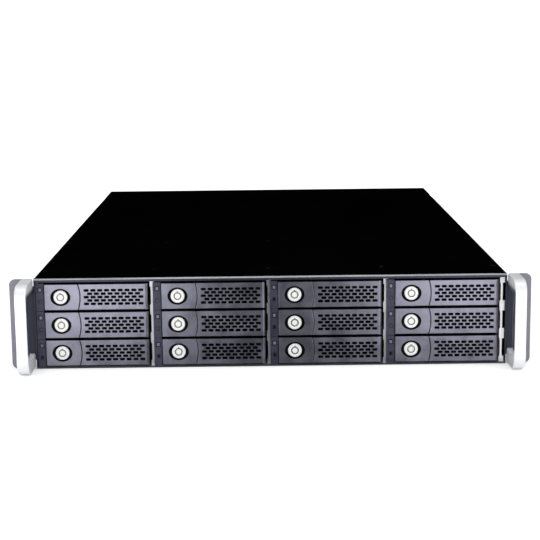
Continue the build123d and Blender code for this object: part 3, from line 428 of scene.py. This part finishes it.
def makeTrayDetails(bay):
    low, high, lockX, middle = trayPlaces(bay)
    lensX = lockX - tray["lockInset"] - tray["stripWidth"] / 2
    stripY = frontY + tray["stripRecess"]
    bm = bmesh.new()
    size, line, proud = lightFrame["size"], lightFrame["line"], lightFrame["proud"]
    place = facing("front", (lensX, stripY, middle + tray["lensHigh"]))
    addFrame(bm, rectangle(size, size), rectangle(size - 2 * line, size - 2 * line), 0, proud, place)
    place = facing("front", (lensX, stripY, middle + tray["lensLow"]))
    wide, tall = lightFrame["low"], lightFrame["lowHeight"]
    addFrame(bm, rectangle(wide, tall), rectangle(wide - line, tall - line), 0, proud, place)
    makePiece(f"lightFrames_{bay}", bm, [blackAndPaintedShade], f"tray_{bay}")
    # a blank label on the drive's lid
    bm = bmesh.new()
    middleX = (low.x + high.x) / 2
    labelY = frontY + driveLabel["setback"] + driveLabel["length"] / 2
    place = facing("up", (middleX, labelY, middle + tray["driveHeight"] / 2))
    outline = rectangle(driveLabel["width"], driveLabel["length"], driveLabel["corner"])
    addPlate(bm, outline, -driveLabel["sunk"], driveLabel["thick"], place)
    makePiece(f"driveLabel_{bay}", bm, [labelPaper], f"tray_{bay}")


for bay in bayNames:
    dressTray(bay)
    makeTrayDetails(bay)
print("trays dressed", len(bayNames))


def chooseTrim(centre, normal):
    slate, bright, black = range(3)
    index = np.full(len(centre), slate)
    # painted highlight on the faces that look up and forward
    index[(normal[:, 2] > 0.3) & (normal[:, 1] < -0.3)] = bright
    index[np.abs(normal[:, 2]) > 0.9] = black
    return index


sheetScrew = {"widest": 12 * mm, "deepest": 14 * mm, "frontRow": 40 * mm}


def chooseSheet(name):
    # the smallest solids are the screws, and the inner ones of the panel's front row are the brighter ones
    lows, highs = solidBoxes(name)
    size = highs - lows
    screws = (size[:, 0] < sheetScrew["widest"]) & (size[:, 1] < sheetScrew["deepest"])

    def choose(centre, normal):
        paint, screw, darkScrew = range(3)
        index = np.full(len(centre), paint)
        index[screws] = screw
        if name == "front_top_panel":
            frontRow = highs[:, 1] < frontY + sheetScrew["frontRow"]
            inner = np.abs(lows[:, 0] + highs[:, 0]) < bodyHigh.x
            index[screws & ~(frontRow & inner)] = darkScrew
        return index

    return choose


case = {"sheet": 1.25 * mm, "wallStart": 60 * mm, "flangeWidth": 14 * mm, "flangeDepth": 16 * mm}


def chooseBase(centre, normal):
    # slate on the front edges and bare zinc on the inside
    black, slate, zinc = range(3)
    index = np.full(len(centre), black)
    index[(centre[:, 1] < frontY + near / 2) & (normal[:, 1] < -0.5)] = slate
    sheet = case["sheet"]
    inside = (centre[:, 2] > sheet - near) & (np.abs(centre[:, 0]) < bodyHigh.x - 0.9 * sheet)
    inside &= (centre[:, 1] < backY - 0.9 * sheet) & (centre[:, 1] > frontY + case["wallStart"])
    index[inside] = zinc
    return index


def chooseCage(centre, normal):
    # the flange at the right end gets a paler, less metallic finish than the rest
    atEnd = centre[:, 0] > bodyHigh.x - case["flangeWidth"]
    return (atEnd & (centre[:, 1] < frontY + case["flangeDepth"])).astype(int)


def chooseHandle(centre, normal):
    # the two side faces get painted shade, a darker copy of the handle's silver
    return (np.abs(normal[:, 0]) > 0.8).astype(int)


dress("trim_rail", [trimSlate, trimPaintedHighlight, blackPaint], chooseTrim)
dress("chassis_base", [blackPaint, trimSlate, innerZinc], chooseBase)
for name in ("front_top_panel", "rear_cover"):
    screwFinish = screwSteel if name == "rear_cover" else dimScrew
    dress(name, [blackPaint, screwFinish, chipBlack], chooseSheet(name))
dress("drive_cage", [brightZinc, flangeZinc], chooseCage)
for side in ("left", "right"):
    dress(f"ear_{side}", [earGreyWithPaintedShade])
    dress(f"handle_{side}", [satinSilver, handlePaintedShade], chooseHandle)
dress("fasteners", [screwSteel])
dress("cables", [cableJacket])
dress("power_button", [chipBlack])
print("case dressed")

# the boards inside: what each solid is follows from its size
boardSizes = {"board": 200 * mm, "sink": 30 * mm, "sinkLargest": 40 * mm, "memory": 120 * mm, "slot": 80 * mm,
              "square": 1 * mm, "portReach": 1 * mm}


def chooseBoard(name):
    lows, highs = solidBoxes(name)
    size = highs - lows

    def choose(centre, normal):
        mask, black, zinc, ivory, aluminium = range(5)
        index = np.full(len(centre), black)
        index[size[:, 0] > boardSizes["board"]] = mask
        port = highs[:, 1] > backY - boardSizes["portReach"]
        index[port] = zinc
        index[port & (normal[:, 1] > 0.9) & (centre[:, 1] < backY)] = black
        index[~port & (size[:, 1] > boardSizes["slot"]) & (size[:, 1] < boardSizes["memory"])] = ivory
        square = np.abs(size[:, 0] - size[:, 1]) < boardSizes["square"]
        sink = (size[:, 0] > boardSizes["sink"]) & (size[:, 0] < boardSizes["sinkLargest"])
        index[square & sink] = aluminium
        return index

    return choose


memoryModule = {"halfThick": 0.7 * mm, "pinHeight": 1.5 * mm}


def chooseMemory(centre, normal):
    # chips stand out on both sides of each module
    lows, highs = solidBoxes("memory_modules")
    away = np.abs(centre[:, 0] - (lows[:, 0] + highs[:, 0]) / 2)
    chip = away > memoryModule["halfThick"]
    mask, black, gold = range(3)
    index = np.where(chip, black, mask)
    index[(centre[:, 2] < lows[:, 2] + memoryModule["pinHeight"]) & (away < memoryModule["halfThick"])] = gold
    return index


boardFinishes = [solderMask, chipBlack, brightZinc, socketIvory, rawAluminium]
dress("motherboard", boardFinishes, chooseBoard("motherboard"))
dress("backplane", [solderMask] + [chipBlack] * 4, chooseBoard("backplane"))
dress("memory_modules", [solderMask, chipBlack, goldPins], chooseMemory)
dress("cpu_heatsink", [rawAluminium])
dress("fan_frames", [fanBlack])
for side in ("left", "middle", "right"):
    dress(f"fan_rotor_{side}", [fanBlack])

supply = {"inletInset": 18 * mm, "inletWidth": 27.2 * mm, "inletHeight": 19.8 * mm, "inletDepth": 14 * mm,
          "inletDrop": 1 * mm, "holeDepth": 2 * mm, "pinWidth": 3 * mm,
          "caseWidth": 50 * mm, "holesStart": 16 * mm, "edge": 1 * mm, "rim": 1.4 * mm, "rimProud": 0.9 * mm,
          "rimCorner": 4.2 * mm, "inletCorner": 3 * mm}
supplyPlate = {"length": 90 * mm, "height": 28 * mm, "corner": 2 * mm, "thick": 0.1 * mm, "sunk": 0.02 * mm,
               "side": 73.5 * mm, "start": 70 * mm}


def dressSupply(level):
    name = f"psu_{level}"
    lows, highs = solidBoxes(name)
    low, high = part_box(name)
    inletX = low.x + supply["inletInset"]
    inletZ = (low.z + high.z) / 2 - supply["inletDrop"]

    def choose(centre, normal):
        zinc, plastic, gold, black = range(4)
        index = np.full(len(centre), zinc)
        size = highs - lows
        index[size[:, 0] < supply["pinWidth"]] = gold
        index[highs[:, 1] > backY + supply["edge"]] = plastic
        x, depth, z = centre[:, 0], backY - centre[:, 1], centre[:, 2]
        hollow = (depth < supply["inletDepth"] + near) & (depth > near / 5)
        hollow &= size[:, 0] > supply["caseWidth"]
        inlet = hollow & (np.abs(x - inletX) < supply["inletWidth"] / 2 + near)
        index[inlet & (np.abs(z - inletZ) < supply["inletHeight"] / 2 + near)] = plastic
        # painted shade: the walls of the vent holes are black
        ventHoleShade = hollow & (depth < supply["holeDepth"] + near) & (x > inletX + supply["holesStart"])
        index[ventHoleShade & (z > low.z + supply["edge"]) & (z < high.z - supply["edge"])] = black
        return index

    dress(name, [brightZinc, fanBlack, goldPins, blackAndPaintedShade], choose)
    dress(f"psu_latch_{level}", [latchRed])
    # the inlet's rim, and a blank plate on the side that shows when the supply is drawn out
    bm = bmesh.new()
    wide, tall, rim = supply["inletWidth"], supply["inletHeight"], supply["rim"]
    outer = rectangle(wide + 2 * rim, tall + 2 * rim, supply["rimCorner"])
    inner = rectangle(wide, tall, supply["inletCorner"])
    addFrame(bm, outer, inner, -near / 10, supply["rimProud"], facing("back", (inletX, backY, inletZ)))
    makePiece(f"inletRim_{level}", bm, [fanBlack], name)
    bm = bmesh.new()
    plateCentre = (low.x + supplyPlate["side"], low.y + supplyPlate["start"], (low.z + high.z) / 2)
    outline = rectangle(supplyPlate["length"], supplyPlate["height"], supplyPlate["corner"])
    addPlate(bm, outline, -supplyPlate["sunk"], supplyPlate["thick"], facing("right", plateCentre))
    makePiece(f"supplyPlate_{level}", bm, [labelPaper], name)


for level in ("lower", "upper"):
    dressSupply(level)
print("inside dressed")

screwHead = {"cross": 3.4 * mm, "crossWidth": 0.8 * mm, "thick": 0.06 * mm, "sunk": 0.03 * mm,
             "earRows": 16 * mm, "earFirst": 18 * mm, "earPitch": 16 * mm, "earHead": 2.9 * mm}


def crossOutline(length, width):
    # a plus sign
    a, b = length / 2, width / 2
    return [(-b, -a), (b, -a), (b, -b), (a, -b), (a, b), (b, b), (b, a), (-b, a), (-b, b), (-a, b), (-a, -b),
            (-b, -b)]


def makeScrewRecessShade():
    # painted shade: black plus-shaped sheets on the heads that hold the ears to the walls, standing for their
    # cross recesses
    bm = bmesh.new()
    outline = crossOutline(screwHead["cross"], screwHead["crossWidth"])
    middle = topZ / 2
    for side, direction in ((-1, "left"), (1, "right")):
        x = side * (bodyHigh.x + screwHead["earHead"])
        for step in range(3):
            y = frontY + screwHead["earFirst"] + step * screwHead["earPitch"]
            for row in (-1, 1):
                place = facing(direction, (x, y, middle + row * screwHead["earRows"]))
                addPlate(bm, outline, -screwHead["sunk"], screwHead["thick"], place)
    makePiece("earScrewRecessShade", bm, [blackAndPaintedShade], "case")


thumbScrew = {"places": (-120 * mm, 0.0, 120 * mm), "radius": 4.6 * mm, "tooth": 0.22 * mm, "teeth": 56,
              "start": 2.6 * mm, "end": 6.6 * mm, "drop": 6.7 * mm, "slot": 6.4 * mm, "slotWidth": 1.1 * mm,
              "band": 0.3 * mm, "lift": 0.02 * mm, "slotSunk": 0.05 * mm, "slotThick": 0.04 * mm}


def makeThumbKnurls():
    # knurled bands of the cover's three thumb screws, with black sheets as painted shade for their slots
    bm = bmesh.new()
    z = topZ - thumbScrew["drop"]
    outer = ringOf(thumbScrew["teeth"], thumbScrew["radius"] + thumbScrew["lift"], thumbScrew["tooth"])
    inner = ringOf(thumbScrew["teeth"], thumbScrew["radius"] - thumbScrew["band"])
    for x in thumbScrew["places"]:
        place = facing("back", (x, backY, z))
        addFrame(bm, outer, inner, thumbScrew["start"], thumbScrew["end"], place)
        slot = rectangle(thumbScrew["slot"], thumbScrew["slotWidth"])
        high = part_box("rear_cover")[1].y - backY
        addPlate(bm, slot, high - thumbScrew["slotSunk"], high + thumbScrew["slotThick"], place, 1)
    makePiece("thumbKnurls", bm, [screwSteel, blackAndPaintedShade], "rear_cover")


hubPlate = {"outer": 14.5 * mm, "inner": 3.2 * mm, "steps": 48, "sunk": 0.02 * mm, "thick": 0.1 * mm}


def makeHubPlates():
    # a blank foil disc on each fan's hub
    for side in ("left", "middle", "right"):
        low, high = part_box(f"fan_rotor_{side}")
        bm = bmesh.new()
        place = facing("front", ((low.x + high.x) / 2, low.y, (low.z + high.z) / 2))
        outer = ringOf(hubPlate["steps"], hubPlate["outer"])
        inner = ringOf(hubPlate["steps"], hubPlate["inner"])
        addFrame(bm, outer, inner, -hubPlate["sunk"], hubPlate["thick"], place)
        makePiece(f"hubPlate_{side}", bm, [labelPaper], f"fan_rotor_{side}")


boardParts = {"caps": 34, "chips": 120, "capRadius": 3.1 * mm, "capHeight": 8.5 * mm, "margin": 9 * mm,
              "seed": 4, "clear": 1.5 * mm, "tries": 60, "capSteps": 20, "capLid": 0.82,
              "lidHeight": 0.1 * mm, "chipHeight": 1.1 * mm, "screwInset": 8 * mm, "screwMiddle": 122 * mm,
              "screwBack": 34 * mm, "screwHalf": 5 * mm}
chipSizes = ((2.2, 1.4), (4.6, 3.6), (8.0, 8.0), (5.0, 2.2), (1.6, 3.2))


def makeBoardParts():
    # capacitors and small chips, clear of what already stands on the board
    lows, highs = solidBoxes("motherboard")
    wide = (highs - lows)[:, 0] > boardSizes["board"]
    low, high = lows[wide][0], highs[wide][0]
    taken = {(tuple(a[:2]), tuple(b[:2])) for a, b in zip(lows[~wide], highs[~wide])}
    for name in ("cpu_heatsink", "memory_modules"):
        first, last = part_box(name)
        taken.add(((first.x, first.y), (last.x, last.y)))
    taken = sorted(taken)
    inset, half = boardParts["screwInset"], boardParts["screwHalf"]
    screwX = (low[0] + inset, (low[0] + high[0]) / 2, high[0] - inset)
    screwY = (low[1] + inset, low[1] + boardParts["screwMiddle"], high[1] - boardParts["screwBack"])
    taken += [((x - half, y - half), (x + half, y + half)) for x in screwX for y in screwY]
    draw = random.Random(boardParts["seed"])
    bm = bmesh.new()
    top = high[2]

    def freeSpot(halfX, halfY):
        clear = boardParts["clear"]
        for attempt in range(boardParts["tries"]):
            x = draw.uniform(low[0] + boardParts["margin"], high[0] - boardParts["margin"])
            y = draw.uniform(low[1] + boardParts["margin"], high[1] - 2.5 * boardParts["margin"])
            if all(x + halfX + clear < a[0] or x - halfX - clear > b[0] or y + halfY + clear < a[1]
                   or y - halfY - clear > b[1] for a, b in taken):
                taken.append(((x - halfX, y - halfY), (x + halfX, y + halfY)))
                return x, y
        return None

    for index in range(boardParts["caps"]):
        radius = boardParts["capRadius"]
        spot = freeSpot(radius, radius)
        if spot:
            place = facing("up", (spot[0], spot[1], top))
            height = boardParts["capHeight"]
            steps = boardParts["capSteps"]
            lid = ringOf(steps, radius * boardParts["capLid"])
            addPlate(bm, ringOf(steps, radius), 0, height, place, 0)
            addPlate(bm, lid, height, height + boardParts["lidHeight"], place, 1)
    for index in range(boardParts["chips"]):
        width, depth = draw.choice(chipSizes)
        spot = freeSpot(width / 2 * mm, depth / 2 * mm)
        if spot:
            place = facing("up", (spot[0], spot[1], top))
            addPlate(bm, rectangle(width * mm, depth * mm), 0, boardParts["chipHeight"], place, 0)
    makePiece("boardParts", bm, [chipBlack, rawAluminium], "case")


makeScrewRecessShade()
makeThumbKnurls()
makeHubPlates()
makeBoardParts()
print("small pieces made")


def makeFloor():
    floorPlan = {"half": 20.0, "colour": (0.97, 0.97, 0.97), "drop": 0.5 * mm, "rough": 0.9, "glow": 0.2}
    half, drop = floorPlan["half"], floorPlan["drop"]
    mesh = bpy.data.meshes.new("floor")
    mesh.from_pydata([(-half, -half, -drop), (half, -half, -drop), (half, half, -drop), (-half, half, -drop)],
                     [], [(0, 1, 2, 3)])
    floor = bpy.data.objects.new("floor", mesh)
    scene.collection.objects.link(floor)
    material, tree, shader = newMaterial("paleFloor")
    shader.inputs["Base Color"].default_value = (*floorPlan["colour"], 1)
    shader.inputs["Roughness"].default_value = floorPlan["rough"]
    shader.inputs["Specular IOR Level"].default_value = 0.0
    shader.inputs["Emission Color"].default_value = (1, 1, 1, 1)
    shader.inputs["Emission Strength"].default_value = floorPlan["glow"]
    mesh.materials.append(material)
    floor.visible_glossy = False


def makeWorld(strength):
    world = bpy.data.worlds.new("paleRoom")
    scene.world = world
    world.use_nodes = True
    background = world.node_tree.nodes["Background"]
    background.inputs["Color"].default_value = (1, 1, 1, 1)
    background.inputs["Strength"].default_value = strength
    world.cycles_visibility.glossy = False  # metal shows the soft boxes, not the room


def softBox(name, place, target, size, radiance):
    # radiance is how bright the box itself looks
    light = bpy.data.lights.new(name, "AREA")
    light.shape = "RECTANGLE"
    light.size, light.size_y = size
    light.energy = radiance * math.pi * size[0] * size[1]
    lamp = bpy.data.objects.new(name, light)
    lamp.location = place
    lamp.rotation_euler = (Vector(target) - Vector(place)).to_track_quat("-Z", "Y").to_euler()
    lamp.visible_camera = False
    scene.collection.objects.link(lamp)


# name, place, what it faces, size and radiance; the low strips light the sides and spare the top
lamps = [
    ("softLeft", (-0.26, frontY - 0.26, 0.06), (-0.20, frontY, 0.04), (0.32, 0.20), 1.65),
    ("softRight", (0.27, frontY - 0.26, 0.06), (0.21, frontY, 0.04), (0.32, 0.20), 1.5),
    ("softTop", (0.03, frontY - 0.12, 1.3), (0.03, frontY, 0.08), (1.15, 0.3), 1.8),
    ("softBack", (0, backY + 0.6, 0.03), (0, backY, 0.04), (1.4, 0.1), 3.0),
    ("softSideLeft", (-1.0, 0.0, 0.03), (-0.2, 0, 0.04), (1.4, 0.1), 3.0),
    ("softSideRight", (1.0, 0.0, 0.03), (0.2, 0, 0.04), (1.4, 0.1), 3.0),
]

makeFloor()
makeWorld(1.12)
for lamp in lamps:
    softBox(*lamp)


def makeCamera():
    shot = {
        "targetX": -0.3 * mm, "targetHeight": 90.8 * mm, "distance": 1.2370, "elevation": 10.44,
        "azimuth": -0.24, "roll": -0.64, "lens": 89.6,
    }
    data = bpy.data.cameras.new("camera")
    camera = bpy.data.objects.new("camera", data)
    scene.collection.objects.link(camera)
    elevation = math.radians(shot["elevation"])
    azimuth = math.radians(shot["azimuth"])
    back = Vector((math.sin(azimuth) * math.cos(elevation), -math.cos(azimuth) * math.cos(elevation),
                   math.sin(elevation)))
    target = Vector((shot["targetX"], frontY, shot["targetHeight"]))
    aim = (-back).to_track_quat("-Z", "Y").to_matrix().to_4x4()
    turn = Matrix.Rotation(math.radians(shot["roll"]), 4, "Z")
    camera.matrix_world = Matrix.Translation(target + back * shot["distance"]) @ aim @ turn
    data.lens = shot["lens"]
    data.sensor_width = 36
    data.clip_start = 0.01
    scene.camera = camera


makeCamera()
print("stage ready")
